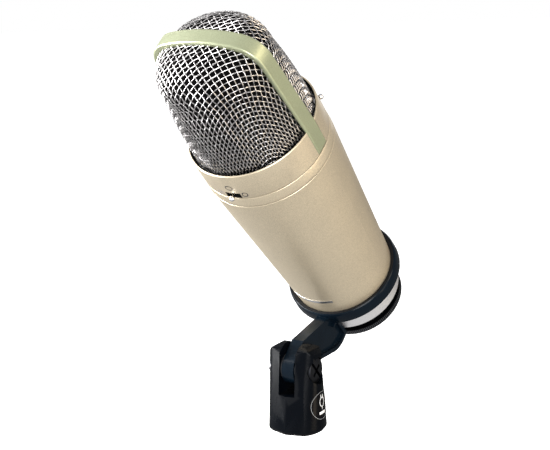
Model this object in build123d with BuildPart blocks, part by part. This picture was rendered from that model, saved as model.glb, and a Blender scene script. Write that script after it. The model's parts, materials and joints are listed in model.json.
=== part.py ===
from build123d import *
import math
import os

# Large side-address studio microphone, leaning forward in a ring-shaped swivel adapter.
#
# Row frame: origin at the centre of the stand thread's mouth, +Z up the stand, X along the
# tilt pivot, the microphone's front towards -Y. Millimetres throughout.
# Microphone frame: origin on the microphone's axis at the seam under the head collar, z towards
# the head, y towards its rear, x towards its right foot of the band.

# ---------------------------------------------------------------- driving dimensions
GAP = 0.1                   # seating gap between flat faces of pieces that rest on each other
RUNNING = 0.06              # radial clearance of a pivot or thread

# swivel adapter
PIVOT_HEIGHT = 27.4         # tilt pivot above the stand thread's mouth
MIC_LEAN = 42.6             # lean of the microphone's axis forward of vertical, at rest
MIC_TURN = -2.5             # turn of the microphone in its ring at rest, about its axis
ARM_REACH = 54.9            # tilt pivot to microphone axis
COLLAR_RISE = 85.4          # tilt pivot to the seam under the head collar, along the axis
CLEVIS_TOP = 38.4
# outer outline of the two ears: flat top, a bend, then sides that lean out to the foot
EAR_FLAT = 5.0
EAR_BEND_HALF = 9.4
EAR_BEND = 36.4
EAR_HALF = 11.4
EAR_SIDE_TOP = 31.5
EAR_FOOT_HALF = 14.0
CLEVIS_SLOT_HALF = 4.0
CLEVIS_SLOT_FLOOR = 17.0
EAR_CORNER_HEIGHT = 33.1    # where the rounded top of the ears begins
EAR_TOP_RADIUS = 8.42
TONGUE_HALF = 2.9
KNUCKLE_RADIUS = 7.2
PIVOT_RADIUS = 2.5          # M5 screw
SCREW_HEAD_RADIUS = 5.43
SCREW_HEAD_THICKNESS = 2.7
HEAD_SEAT = 7.6             # |x| of the seats of the screw head and the nut
NUT_ACROSS_FLATS = 8.0
RIM_HALF = 4.6              # half-width of the arm's lower flange
RIM_THICKNESS = 1.8
RIM_START = 10.4            # the flange starts this far rearwards of the pivot, clear of the ears

# stand thread, 5/8"-27 UNS: the bore stands at the thread's minor radius
STAND_THREAD_RADIUS = 7.43
INSERT_RADIUS = 9.5
INSERT_LENGTH = 14.0

# adapter ring
RING_TOP = -88.3
RING_BOTTOM = -94.5
RING_RADIUS = 26.5
RING_WALL_INNER = 25.35
RING_FLOOR_TOP = -92.5
TAIL_CLEARANCE_RADIUS = 17.9

# microphone body
COLLAR_RADIUS = 28.0
COLLAR_INNER = 25.2
COLLAR_TOP = 13.3
COLLAR_EDGE = 0.3           # small chamfer at the collar's top edge
LEDGE = 8.0                 # ledge inside the head collar that carries the grille ring
SPIGOT_RADIUS = 25.8        # the lower collar's spigot, inside the body tube
SPIGOT_INNER = 24.0
SPIGOT_BOTTOM = -12.0
SPIGOT_TOP = 4.5
SEAM = 0.3
LOWER_COLLAR_BOTTOM = -5.0
BODY_TOP = -5.3
BODY_BOTTOM = -92.0
BODY_TOP_RADIUS = 28.2
BODY_TAPER = 4.75           # loss of radius from the top of the body tube to its bottom
BODY_WALL = 1.9

# head
BAND_HALF_WIDTH = 3.6
BAND_APEX = 61.1
BAND_THICKNESS = 2.2
BAND_SHOULDER_HALF = 24.7   # half-width of the arch where its legs meet the crown
BAND_CROWN_RISE = 4.5       # the crown's middle above its shoulders
BAND_CORNER_RADIUS = 12.0
BAND_FOOT_SEAT = 26.45      # distance from the axis to the feet's inner face
GRILLE_BASE = 10.5
GRILLE_SHOULDER = 43.0      # height where the straight wall turns into the dome
GRILLE_APEX = 60.1
GRILLE_WALL = 1.0
CAPSULE_HEIGHT = 33.0

# tail
STUB_RADIUS = 17.5
STUB_BOTTOM = -112.2
SLEEVE_RADIUS = 22.4
SLEEVE_TOP = -94.6
SLEEVE_BOTTOM = -105.0
NUT_BOTTOM = -112.5
NUT_NECK_RADIUS = 20.2
NUT_FLANGE_TOP = -109.0
NUT_FLANGE_RADIUS = 21.5
KNURLS = 150
KNURL_RADIUS = 0.26
XLR_BORE_RADIUS = 8.0
XLR_PIN_RADIUS = 1.2
XLR_PIN_CIRCLE = 4.4

# switches: azimuth from the front towards +X, window width, lever's place along it at rest
SWITCH_HEIGHT = 1.7
WINDOW_HEIGHT = 3.0
BALL_RADIUS = 1.15
BALL_PROUD = 1.5            # ball centre outside the collar's surface
SWITCHES = {
    "pattern": {"azimuth": 0, "window": 7.2, "rest": 0.0},
    "pad": {"azimuth": 149.0, "window": 5.0, "rest": -1.2},
    "bass_cut": {"azimuth": 211.0, "window": 5.0, "rest": 1.2},
}

# ---------------------------------------------------------------- frames and helpers
lean = math.radians(MIC_LEAN)
turn = math.radians(MIC_TURN)
mic_up = Vector(0, -math.sin(lean), math.cos(lean))
arm_rear = Vector(0, math.cos(lean), math.sin(lean))
mic_side = Vector(math.cos(turn), 0, 0) + arm_rear * math.sin(turn)
mic_rear = arm_rear * math.cos(turn) - Vector(math.sin(turn), 0, 0)
pivot_point = Vector(0, 0, PIVOT_HEIGHT)
mic_origin = pivot_point + arm_rear * ARM_REACH + mic_up * COLLAR_RISE

MIC = Plane(mic_origin, x_dir=mic_side, z_dir=mic_up)
MIC_PROFILE = Plane(mic_origin, x_dir=mic_side, z_dir=-mic_rear)    # x = radius, y = height
MIC_AXIS = Axis(mic_origin, mic_up)
ARM = Plane(pivot_point, x_dir=arm_rear, z_dir=(1, 0, 0))           # origin on the pivot


def save(piece, name):
    """Label a finished piece and write it as its own node."""
    piece.part.label = name
    export_step(piece.part, f"parts/{name}.step")


def turned(name, outline):
    """A solid of revolution about the microphone's axis from (radius, height) points."""
    with BuildPart() as piece:
        with BuildSketch(MIC_PROFILE):
            with BuildLine():
                Polyline(*outline, close=True)
            make_face()
        revolve(axis=MIC_AXIS)
    save(piece, name)


def body_radius(height):
    """Outer radius of the tapered body tube."""
    return BODY_TOP_RADIUS - BODY_TAPER * (BODY_TOP - height) / (BODY_TOP - BODY_BOTTOM)


def outward(azimuth):
    """Direction away from the microphone's axis, at an angle from its front towards its x."""
    return mic_side * math.sin(math.radians(azimuth)) - mic_rear * math.cos(math.radians(azimuth))


def switch_plane(azimuth):
    """Plane through the axis at switch height: x tangential, y towards the head, z outwards."""
    centre = mic_origin + mic_up * SWITCH_HEIGHT
    return Plane(centre, x_dir=outward(azimuth + 90), z_dir=outward(azimuth))


os.makedirs("parts", exist_ok=True)

# ---------------------------------------------------------------- swivel base


def clevis_section(height, grow=0.0):
    """Lens-like section of the clevis: two bulged sides, and a shallow V in front and behind."""
    side = 12.67 - 0.020 * height + grow
    ridge_x = 8.64 - 0.038 * height + grow
    ridge_y = 9.6 - 0.112 * height + grow
    centre = 11.5 - 0.109 * height + grow
    with BuildSketch(Plane.XY.offset(height)) as section:
        with BuildLine():
            Polyline((ridge_x, -ridge_y), (0, -centre), (-ridge_x, -ridge_y))
            ThreePointArc((-ridge_x, -ridge_y), (-side, 0), (-ridge_x, ridge_y))
            Polyline((-ridge_x, ridge_y), (0, centre), (ridge_x, ridge_y))
            ThreePointArc((ridge_x, ridge_y), (side, 0), (ridge_x, -ridge_y))
        make_face()
    return section.sketch


BOTTOM_CHAMFER = 1.3
with BuildPart() as base_clevis:
    sections = [clevis_section(0, -1.0), clevis_section(BOTTOM_CHAMFER), clevis_section(CLEVIS_TOP)]
    loft(sections, ruled=True)
    with BuildSketch(Plane.YZ):
        with Locations((0, EAR_CORNER_HEIGHT / 2)):
            Rectangle(30, EAR_CORNER_HEIGHT)
        with Locations((0, CLEVIS_TOP - EAR_TOP_RADIUS)):
            Circle(EAR_TOP_RADIUS)
    extrude(amount=15, both=True, mode=Mode.INTERSECT)
    with BuildSketch(Plane.XZ):
        with BuildLine():
            Polyline((EAR_FLAT, CLEVIS_TOP), (-EAR_FLAT, CLEVIS_TOP))
            ThreePointArc((-EAR_FLAT, CLEVIS_TOP), (-EAR_BEND_HALF, EAR_BEND), (-EAR_HALF, EAR_SIDE_TOP))
            Polyline(
                (-EAR_HALF, EAR_SIDE_TOP),
                (-EAR_FOOT_HALF, 0),
                (EAR_FOOT_HALF, 0),
                (EAR_HALF, EAR_SIDE_TOP),
            )
            ThreePointArc((EAR_HALF, EAR_SIDE_TOP), (EAR_BEND_HALF, EAR_BEND), (EAR_FLAT, CLEVIS_TOP))
        make_face()
    extrude(amount=15, both=True, mode=Mode.INTERSECT)
    with BuildSketch(Plane.XY.offset(CLEVIS_SLOT_FLOOR)):
        Rectangle(2 * CLEVIS_SLOT_HALF, 40)
    extrude(amount=40, mode=Mode.SUBTRACT)
    with BuildSketch(Plane.XY):
        Circle(INSERT_RADIUS + 0.02)
    extrude(amount=INSERT_LENGTH + GAP, mode=Mode.SUBTRACT)
    with BuildSketch(Plane.YZ):
        with Locations((0, PIVOT_HEIGHT)):
            Circle(PIVOT_RADIUS + RUNNING)
    extrude(amount=20, both=True, mode=Mode.SUBTRACT)
    with BuildSketch(Plane.YZ.offset(HEAD_SEAT)):
        with Locations((0, PIVOT_HEIGHT)):
            Circle(SCREW_HEAD_RADIUS + 0.3)
    extrude(amount=10, mode=Mode.SUBTRACT)
    with BuildSketch(Plane.YZ.offset(-HEAD_SEAT)):
        with Locations((0, PIVOT_HEIGHT)):
            RegularPolygon(NUT_ACROSS_FLATS / 2 + 0.1, 6, major_radius=False)
    extrude(amount=-10, mode=Mode.SUBTRACT)
save(base_clevis, "base_clevis")

with BuildPart() as thread_insert:
    with BuildSketch(Plane.XY):
        Circle(INSERT_RADIUS)
        Circle(STAND_THREAD_RADIUS, mode=Mode.SUBTRACT)
    extrude(amount=INSERT_LENGTH)
save(thread_insert, "thread_insert")

LABEL_HEIGHT = 12.2
LABEL_RADIUS = 6.6
with BuildPart() as side_label:
    loft([clevis_section(0, 0.14), clevis_section(CLEVIS_TOP, 0.14)], ruled=True)
    loft([clevis_section(0, 0.01), clevis_section(CLEVIS_TOP, 0.01)], ruled=True, mode=Mode.SUBTRACT)
    with BuildSketch(Plane.YZ.offset(5)):
        with Locations((0, LABEL_HEIGHT)):
            Circle(LABEL_RADIUS)
    extrude(amount=10, mode=Mode.INTERSECT)
save(side_label, "side_label")

with BuildPart() as pivot_screw:
    with BuildSketch(Plane.YZ.offset(HEAD_SEAT + GAP / 2)):
        with Locations((0, PIVOT_HEIGHT)):
            Circle(SCREW_HEAD_RADIUS)
    extrude(amount=SCREW_HEAD_THICKNESS)
    fillet(pivot_screw.faces().sort_by(Axis.X)[-1].edges(), 0.5)
    with BuildSketch(Plane.YZ.offset(-HEAD_SEAT - 3.6)):
        with Locations((0, PIVOT_HEIGHT)):
            Circle(PIVOT_RADIUS)
    extrude(until=Until.NEXT)
    with BuildSketch(Plane.YZ.offset(HEAD_SEAT + SCREW_HEAD_THICKNESS + GAP / 2)):
        with Locations(Location((0, PIVOT_HEIGHT), 40)):
            Rectangle(1.3, 12)
            Rectangle(6.4, 1.3)
    extrude(amount=-1.4, mode=Mode.SUBTRACT)
save(pivot_screw, "pivot_screw")

with BuildPart() as pivot_nut:
    with BuildSketch(Plane.YZ.offset(-HEAD_SEAT - GAP / 2)):
        with Locations((0, PIVOT_HEIGHT)):
            RegularPolygon(NUT_ACROSS_FLATS / 2, 6, major_radius=False)
            Circle(PIVOT_RADIUS + 0.02, mode=Mode.SUBTRACT)
    extrude(amount=-3.8)
save(pivot_nut, "pivot_nut")

with BuildPart() as friction_washers:
    for side in (1, -1):
        with BuildSketch(Plane.YZ.offset(side * (TONGUE_HALF + 0.06))):
            with Locations((0, PIVOT_HEIGHT)):
                Circle(6.2)
                Circle(PIVOT_RADIUS + 0.1, mode=Mode.SUBTRACT)
        extrude(amount=side * 1.0)
save(friction_washers, "friction_washers")

# ---------------------------------------------------------------- adapter arm and ring
SLEEVE_SIDE = ARM_REACH - SLEEVE_RADIUS - 0.35      # where the arm faces the clamp sleeve
RING_UNDERSIDE = RING_BOTTOM + COLLAR_RISE


def arm_outline():
    """Side outline of the arm: straight top with one bend, and a swept belly."""
    heel = (SLEEVE_SIDE, -21.6)
    belly = (19.8, -18.5)
    Polyline((0, 0), (0, 6.9), (9.6, 6.9), (28.9, -4.9), (28.9, -8.2), (SLEEVE_SIDE, -8.6), heel)
    ThreePointArc(heel, (25.9, -21.4), belly)
    Line(belly, (0, 0))


with BuildPart() as adapter_arm:
    with BuildSketch(MIC_PROFILE):
        with BuildLine():
            Polyline(
                (TAIL_CLEARANCE_RADIUS, RING_BOTTOM),
                (RING_RADIUS - 0.4, RING_BOTTOM),
                (RING_RADIUS, RING_BOTTOM + 0.4),
                (RING_RADIUS - 0.15, RING_TOP - 1.8),
                (RING_RADIUS - 0.5, RING_TOP - 0.4),
                (RING_RADIUS - 0.9, RING_TOP),
                (RING_WALL_INNER, RING_TOP),
                (RING_WALL_INNER, RING_FLOOR_TOP),
                (TAIL_CLEARANCE_RADIUS, RING_FLOOR_TOP),
                close=True,
            )
        make_face()
    revolve(axis=MIC_AXIS)
    with BuildSketch(ARM):
        with BuildLine():
            arm_outline()
        make_face()
        Circle(KNUCKLE_RADIUS)
    extrude(amount=TONGUE_HALF, both=True)
    with BuildSketch(ARM):
        with BuildLine():
            arm_outline()
        make_face()
        offset(amount=-RIM_THICKNESS, kind=Kind.INTERSECTION, mode=Mode.SUBTRACT)
        with Locations((RIM_START, RING_UNDERSIDE)):
            Rectangle(40, 52, align=(Align.MIN, Align.MAX), mode=Mode.INTERSECT)
    extrude(amount=RIM_HALF, both=True)
    with BuildSketch(ARM):
        Circle(PIVOT_RADIUS + RUNNING)
    extrude(amount=10, both=True, mode=Mode.SUBTRACT)
save(adapter_arm, "adapter_arm")

turned("ring_pad", [
    (body_radius(RING_FLOOR_TOP) + 0.45, RING_FLOOR_TOP + GAP / 2),
    (RING_WALL_INNER - 0.02, RING_FLOOR_TOP + GAP / 2),
    (RING_WALL_INNER - 0.02, RING_TOP - 0.1),
    (body_radius(RING_TOP) + 0.32, RING_TOP - 0.5),
])

# ---------------------------------------------------------------- collars and body
with BuildPart() as head_collar:
    with BuildSketch(MIC_PROFILE):
        with BuildLine():
            Polyline(
                (COLLAR_INNER, SEAM / 2),
                (COLLAR_RADIUS - 0.15, SEAM / 2),
                (COLLAR_RADIUS, SEAM / 2 + 0.15),
                (COLLAR_RADIUS, COLLAR_TOP - COLLAR_EDGE),
                (COLLAR_RADIUS - COLLAR_EDGE, COLLAR_TOP),
                (COLLAR_RADIUS - 0.6, COLLAR_TOP),
                (COLLAR_RADIUS - 1.4, COLLAR_TOP - 1.3),
                (COLLAR_RADIUS - 1.5, LEDGE),
                (COLLAR_INNER, LEDGE),
                close=True,
            )
        make_face()
    revolve(axis=MIC_AXIS)
    for side in (1, -1):
        with BuildSketch(MIC):
            with Locations((side * (BAND_FOOT_SEAT + 5), 0)):
                Rectangle(10, 2 * BAND_HALF_WIDTH + GAP)
        extrude(amount=20, mode=Mode.SUBTRACT)
    for switch in SWITCHES.values():
        with BuildSketch(switch_plane(switch["azimuth"]).offset(22)):
            Rectangle(switch["window"], WINDOW_HEIGHT)
        extrude(amount=10, mode=Mode.SUBTRACT)
save(head_collar, "head_collar")

with BuildPart() as lower_collar:
    with BuildSketch(MIC_PROFILE):
        with BuildLine():
            Polyline(
                (SPIGOT_INNER, SPIGOT_BOTTOM),
                (SPIGOT_RADIUS, SPIGOT_BOTTOM),
                (SPIGOT_RADIUS, LOWER_COLLAR_BOTTOM),
                (COLLAR_RADIUS + 0.05, LOWER_COLLAR_BOTTOM),
                (COLLAR_RADIUS + 0.2, LOWER_COLLAR_BOTTOM + 0.15),
                (COLLAR_RADIUS, -SEAM / 2 - 0.15),
                (COLLAR_RADIUS - 0.15, -SEAM / 2),
                (COLLAR_INNER - GAP, -SEAM / 2),
                (COLLAR_INNER - GAP, SPIGOT_TOP),
                (SPIGOT_INNER, SPIGOT_TOP),
                close=True,
            )
        make_face()
    revolve(axis=MIC_AXIS)
    for switch in SWITCHES.values():
        with BuildSketch(switch_plane(switch["azimuth"]).offset(18)):
            Rectangle(switch["window"] + 0.4, WINDOW_HEIGHT + 0.3)
        extrude(amount=7.4, mode=Mode.SUBTRACT)
save(lower_collar, "lower_collar")

turned("body_tube", [
    (body_radius(BODY_TOP) - 0.15, BODY_TOP),
    (body_radius(BODY_TOP) - BODY_WALL, BODY_TOP),
    (body_radius(BODY_BOTTOM) - BODY_WALL, BODY_BOTTOM),
    (body_radius(BODY_BOTTOM), BODY_BOTTOM),
    (body_radius(BODY_TOP), BODY_TOP - 0.15),
])

PLATE_LOW = -81.5
PLATE_HIGH = -79.9
PLATE_AZIMUTHS = (-29.5, 21.1)      # from the front towards the microphone's x
plate_start = outward(PLATE_AZIMUTHS[0])
with BuildPart() as serial_plate:
    with BuildSketch(Plane(MIC_PROFILE.origin, x_dir=plate_start, z_dir=plate_start.cross(mic_up))):
        with BuildLine():
            Polyline(
                (body_radius(PLATE_LOW) + 0.02, PLATE_LOW),
                (body_radius(PLATE_LOW) + 0.14, PLATE_LOW),
                (body_radius(PLATE_HIGH) + 0.14, PLATE_HIGH),
                (body_radius(PLATE_HIGH) + 0.02, PLATE_HIGH),
                close=True,
            )
        make_face()
    revolve(axis=MIC_AXIS, revolution_arc=PLATE_AZIMUTHS[1] - PLATE_AZIMUTHS[0])
save(serial_plate, "serial_plate")

# ---------------------------------------------------------------- head: band, grille, foam


def band_outline(foot_half, foot, shoulder_half, apex):
    """Closed arch: upright feet, legs that lean in, and a gently domed crown."""
    shoulder = apex - BAND_CROWN_RISE
    Polyline((-shoulder_half, shoulder), (-foot_half, COLLAR_TOP), (-foot_half, foot))
    Line((-foot_half, foot), (foot_half, foot))
    Polyline((foot_half, foot), (foot_half, COLLAR_TOP), (shoulder_half, shoulder))
    ThreePointArc((shoulder_half, shoulder), (0, apex), (-shoulder_half, shoulder))


with BuildPart() as grille_band:
    with BuildSketch(MIC_PROFILE) as outside:
        with BuildLine():
            band_outline(COLLAR_RADIUS + 0.05, SEAM, BAND_SHOULDER_HALF, BAND_APEX)
        make_face()
        fillet(outside.vertices().sort_by(Axis.Y)[-2:], BAND_CORNER_RADIUS)
    extrude(amount=BAND_HALF_WIDTH, both=True)
    with BuildSketch(MIC_PROFILE) as inside:
        with BuildLine():
            inner_half = BAND_SHOULDER_HALF - BAND_THICKNESS
            band_outline(BAND_FOOT_SEAT + GAP, -1.0, inner_half, BAND_APEX - BAND_THICKNESS)
        make_face()
        fillet(inside.vertices().sort_by(Axis.Y)[-2:], BAND_CORNER_RADIUS - 1.5)
    extrude(amount=10, both=True, mode=Mode.SUBTRACT)
save(grille_band, "grille_band")

RING_LOW = LEDGE + GAP / 2
RING_HIGH = GRILLE_BASE - GAP / 2
turned("grille_ring", [(24.2, RING_LOW), (26.4, RING_LOW), (26.4, RING_HIGH), (24.2, RING_HIGH)])


GRILLE_RADIUS = 26.3
WIDTH_LOSS = 1.9            # the basket's half-width lost by the shoulder
DEPTH_LOSS = 3.3            # the basket's half-depth lost by the shoulder


def grille_half_sizes(height, inset):
    """Half-width and half-depth of the basket: a round base that flattens towards the dome."""
    rise = min((height - GRILLE_BASE) / (GRILLE_SHOULDER - GRILLE_BASE), 1)
    width = GRILLE_RADIUS - WIDTH_LOSS * rise - inset
    depth = GRILLE_RADIUS - DEPTH_LOSS * rise ** 2.6 - inset
    if height > GRILLE_SHOULDER:
        climb = (height - GRILLE_SHOULDER) / (GRILLE_APEX - GRILLE_SHOULDER)
        close_in = (1 - climb ** 2.7) ** (1 / 2.7)
        width *= close_in
        depth *= close_in
    return width, depth


def basket(inset):
    """Closed basket form, as sections lofted up to a small flat crown under the band."""
    wall_height = GRILLE_SHOULDER - GRILLE_BASE
    dome_height = GRILLE_APEX - GRILLE_SHOULDER
    heights = [GRILLE_BASE + wall_height * step / 6 for step in range(6)]
    heights += [GRILLE_SHOULDER + dome_height * math.sin(math.radians(10 * step)) for step in range(9)]
    sections = []
    for height in heights:
        width, depth = grille_half_sizes(height, inset)
        drop = inset * (height - GRILLE_BASE) / (GRILLE_APEX - GRILLE_BASE)
        with BuildSketch(MIC.offset(height - drop)) as section:
            Ellipse(width, depth)
        sections.append(section.sketch)
    return sections


def basket_half(name, front, outer_inset, wall):
    """Front or rear half of a basket shell, cut back to the side of the band."""
    side = 1 if front else -1
    with BuildPart() as half:
        loft(basket(outer_inset), ruled=True)
        loft(basket(outer_inset + wall), ruled=True, mode=Mode.SUBTRACT)
        with BuildSketch(MIC_PROFILE.offset(side * (BAND_HALF_WIDTH + GAP / 2))):
            with Locations((0, 40)):
                Rectangle(80, 80)
        extrude(amount=side * 40, mode=Mode.INTERSECT)
    save(half, name)


basket_half("front_grille", True, 0.0, GRILLE_WALL)
basket_half("rear_grille", False, 0.0, GRILLE_WALL)
basket_half("front_foam_liner", True, GRILLE_WALL + 0.15, 1.2)
basket_half("rear_foam_liner", False, GRILLE_WALL + 0.15, 1.2)

# ---------------------------------------------------------------- capsule
CAPSULE = Plane(mic_origin + mic_up * CAPSULE_HEIGHT, x_dir=mic_side, z_dir=-mic_rear)
BACKPLATE_RADIUS = 15.6
SCREW_CIRCLE = 14.3
CAPSULE_SCREWS = 8


def capsule_disc(name, near, far, radius, bore=0.0, holes=0.0, side=1):
    """A disc or ring of the capsule between two distances from its middle plane."""
    with BuildPart() as disc:
        with BuildSketch(CAPSULE.offset(side * near)):
            Circle(radius)
            if bore:
                Circle(bore, mode=Mode.SUBTRACT)
            if holes:
                with PolarLocations(SCREW_CIRCLE, CAPSULE_SCREWS):
                    Circle(holes, mode=Mode.SUBTRACT)
        extrude(amount=side * (far - near))
    save(disc, name)


for side, name in ((1, "front"), (-1, "rear")):
    capsule_disc(f"{name}_backplate", 0.35, 4.2, BACKPLATE_RADIUS, holes=0.65, side=side)
    capsule_disc(f"{name}_diaphragm", 4.25, 4.4, 13.3, side=side)
    capsule_disc(f"{name}_clamp_ring", 4.45, 5.9, BACKPLATE_RADIUS, bore=12.6, holes=0.65, side=side)
capsule_disc("capsule_insulator", -0.3, 0.3, BACKPLATE_RADIUS, bore=11.0)

with BuildPart() as capsule_screws:
    for side in (1, -1):
        with BuildSketch(CAPSULE.offset(side * 5.95)):
            with PolarLocations(SCREW_CIRCLE, CAPSULE_SCREWS):
                Circle(1.1)
        extrude(amount=side * 0.6)
        with BuildSketch(CAPSULE.offset(side * 0.8)):
            with PolarLocations(SCREW_CIRCLE, CAPSULE_SCREWS):
                Circle(0.6)
        extrude(amount=side * 5.15)
save(capsule_screws, "capsule_screws")

with BuildPart() as capsule_yoke:
    with BuildSketch(CAPSULE.offset(-2.6)):
        Circle(17.6)
        Circle(BACKPLATE_RADIUS + 0.05, mode=Mode.SUBTRACT)
    extrude(amount=5.2)
    with BuildSketch(MIC.offset(10.5)):
        Circle(3.4)
    extrude(amount=6.2)
    with BuildSketch(CAPSULE.offset(-5)):
        Circle(BACKPLATE_RADIUS + 0.05)
    extrude(amount=10, mode=Mode.SUBTRACT)
    with BuildSketch(MIC.offset(9.4)):
        Circle(7.0)
    extrude(amount=1.7)
save(capsule_yoke, "capsule_yoke")

turned("capsule_rubber_mount", [(0.01, 6.5), (7.4, 6.5), (5.6, 7.9), (7.0, 9.35), (0.01, 9.35)])

# ---------------------------------------------------------------- chassis
RAIL_CENTRE = 12.5
RAIL_HALF = 2.0
BOARD_SCREW_HEIGHTS = (-20, -76)
BOARD_SCREWS = [(side * RAIL_CENTRE, height) for side in (-1, 1) for height in BOARD_SCREW_HEIGHTS]
HEAD_PLATE_LOW = 4.6
HEAD_PLATE_HIGH = 6.4
RAIL_TOP = HEAD_PLATE_LOW - GAP / 2
RAIL_BOTTOM = -89.8
WIRE_PLACES = [(-6, -6.5), (6, -6.5)]

with BuildPart() as head_plate:
    with BuildSketch(MIC.offset(HEAD_PLATE_LOW)):
        Circle(25.0)
        with GridLocations(2 * RAIL_CENTRE, 0, 2, 1):
            Circle(1.25, mode=Mode.SUBTRACT)
        with Locations(*WIRE_PLACES):
            Circle(0.9, mode=Mode.SUBTRACT)
    extrude(amount=HEAD_PLATE_HIGH - HEAD_PLATE_LOW)
save(head_plate, "head_plate")

for side, name in ((-1, "left_rail"), (1, "right_rail")):
    with BuildPart() as rail:
        with BuildSketch(MIC.offset(RAIL_BOTTOM)):
            with Locations((side * RAIL_CENTRE, 0)):
                Rectangle(2 * RAIL_HALF, 8)
        extrude(amount=RAIL_TOP - RAIL_BOTTOM)
        for end in (RAIL_TOP, RAIL_BOTTOM):
            with BuildSketch(MIC.offset(end)):
                with Locations((side * RAIL_CENTRE, 0)):
                    Circle(1.25)
            extrude(amount=math.copysign(7, RAIL_BOTTOM - end + 1), mode=Mode.SUBTRACT)
        with BuildSketch(MIC_PROFILE.offset(4)):
            with Locations(*[(side * RAIL_CENTRE, height) for height in BOARD_SCREW_HEIGHTS]):
                Circle(0.9)
        extrude(amount=-5, mode=Mode.SUBTRACT)
    save(rail, name)

with BuildPart() as chassis_screws:
    for direction, seat in ((1, HEAD_PLATE_HIGH), (-1, -91.9)):
        with BuildSketch(MIC.offset(seat + direction * 0.02)):
            with GridLocations(2 * RAIL_CENTRE, 0, 2, 1):
                Circle(2.0)
        extrude(amount=direction * 0.55)
        with BuildSketch(MIC.offset(seat + direction * 0.02)):
            with GridLocations(2 * RAIL_CENTRE, 0, 2, 1):
                Circle(1.2)
        extrude(amount=-direction * 7.0)
save(chassis_screws, "chassis_screws")

BOARD_FACE = 5.75           # front face of the main board, forward of the axis
with BuildPart() as main_board:
    with BuildSketch(MIC_PROFILE.offset(BOARD_FACE - 1.6)):
        with Locations((0, -48)):
            Rectangle(30, 68)
        with Locations(*BOARD_SCREWS):
            Circle(0.9, mode=Mode.SUBTRACT)
    extrude(amount=1.6)
save(main_board, "main_board")

with BuildPart() as board_screws:
    for radius, length in ((1.7, 1.0), (0.85, -5.5)):
        with BuildSketch(MIC_PROFILE.offset(BOARD_FACE + 0.02)):
            with Locations(*BOARD_SCREWS):
                Circle(radius)
        extrude(amount=length)
save(board_screws, "board_screws")

with BuildPart() as film_capacitors:
    with BuildSketch(MIC_PROFILE.offset(BOARD_FACE + 0.05)):
        with Locations((-5, -26), (5, -26)):
            RectangleRounded(8.5, 12, 1)
    extrude(amount=5.5)
save(film_capacitors, "film_capacitors")

with BuildPart() as electrolytic_capacitors:
    with BuildSketch(MIC_PROFILE.offset(BOARD_FACE + 0.05)):
        with Locations((-8, -42), (2, -42), (-8, -56)):
            Circle(3.9)
    extrude(amount=8.5)
save(electrolytic_capacitors, "electrolytic_capacitors")

with BuildPart() as input_transistor:
    with BuildSketch(MIC_PROFILE.offset(BOARD_FACE + 0.05)):
        with Locations((9.5, -40)):
            Circle(2.4)
    extrude(amount=4.2)
save(input_transistor, "input_transistor")

with BuildPart() as resistors:
    for row in range(5):
        with BuildSketch(MIC.offset(-70 + 4 * row)):
            with Locations((7, -BOARD_FACE - 1.3)):
                Circle(1.15)
        extrude(amount=3.2)
save(resistors, "resistors")

with BuildPart() as output_transformer:
    with BuildSketch(MIC.offset(-80)):
        with Locations((0, 6.2)):
            RectangleRounded(20, 16, 1.5)
    extrude(amount=22)
save(output_transformer, "output_transformer")

with BuildPart() as capsule_wires:
    with BuildSketch(MIC.offset(-12)):
        with Locations(*WIRE_PLACES):
            Circle(0.5)
    extrude(amount=26)
save(capsule_wires, "capsule_wires")

# ---------------------------------------------------------------- switches
CASE_BACK = 18.4
CASE_FACE = 22.8
CASE_HEIGHT = 5.4
POCKET_FLOOR = 20.0
ball_centre = COLLAR_RADIUS + BALL_PROUD

for name, switch in SWITCHES.items():
    place = switch_plane(switch["azimuth"])
    with BuildPart() as case:
        with BuildSketch(place.offset(CASE_BACK)):
            Rectangle(switch["window"] + 3, CASE_HEIGHT)
        extrude(amount=CASE_FACE - CASE_BACK)
        with BuildSketch(place.offset(POCKET_FLOOR)):
            Rectangle(switch["window"] - 0.6, 2.0)
        extrude(amount=10, mode=Mode.SUBTRACT)
    save(case, f"{name}_switch_case")
    with BuildPart() as board:
        with BuildSketch(place.offset(CASE_BACK - 1.65)):
            Rectangle(switch["window"] + 5, CASE_HEIGHT)
        extrude(amount=1.6)
    save(board, f"{name}_switch_board")
    slider = Plane(place.origin + place.x_dir * switch["rest"], x_dir=place.x_dir, z_dir=place.z_dir)
    with BuildPart() as lever:
        with BuildSketch(slider.offset(POCKET_FLOOR + 0.3)):
            Circle(0.65)
        extrude(amount=ball_centre - POCKET_FLOOR - 0.3)
        with BuildSketch(slider.offset(POCKET_FLOOR + 0.3)):
            Rectangle(1.5, 1.4)
        extrude(amount=1.5)
        with Locations(slider.offset(ball_centre)):
            Sphere(BALL_RADIUS)
    save(lever, f"{name}_switch_lever")

# ---------------------------------------------------------------- tail
with BuildPart() as tail_stub:
    with BuildSketch(MIC_PROFILE):
        with BuildLine():
            Polyline(
                (11.0, -89.9),
                (21.2, -89.9),
                (21.2, -91.9),
                (STUB_RADIUS, -91.9),
                (STUB_RADIUS, STUB_BOTTOM),
                (XLR_BORE_RADIUS + 1.65, STUB_BOTTOM),
                (XLR_BORE_RADIUS + 1.65, STUB_BOTTOM + 2),
                (15.6, STUB_BOTTOM + 2),
                (15.6, -91.9),
                (11.0, -91.9),
                close=True,
            )
        make_face()
    revolve(axis=MIC_AXIS)
    with BuildSketch(MIC.offset(-93)):
        with GridLocations(2 * RAIL_CENTRE, 0, 2, 1):
            Circle(1.25)
    extrude(amount=4, mode=Mode.SUBTRACT)
save(tail_stub, "tail_stub")

turned("xlr_shell", [
    (XLR_BORE_RADIUS, STUB_BOTTOM),
    (XLR_BORE_RADIUS + 1.6, STUB_BOTTOM),
    (XLR_BORE_RADIUS + 1.6, -95.0),
    (XLR_BORE_RADIUS, -95.0),
])

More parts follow.
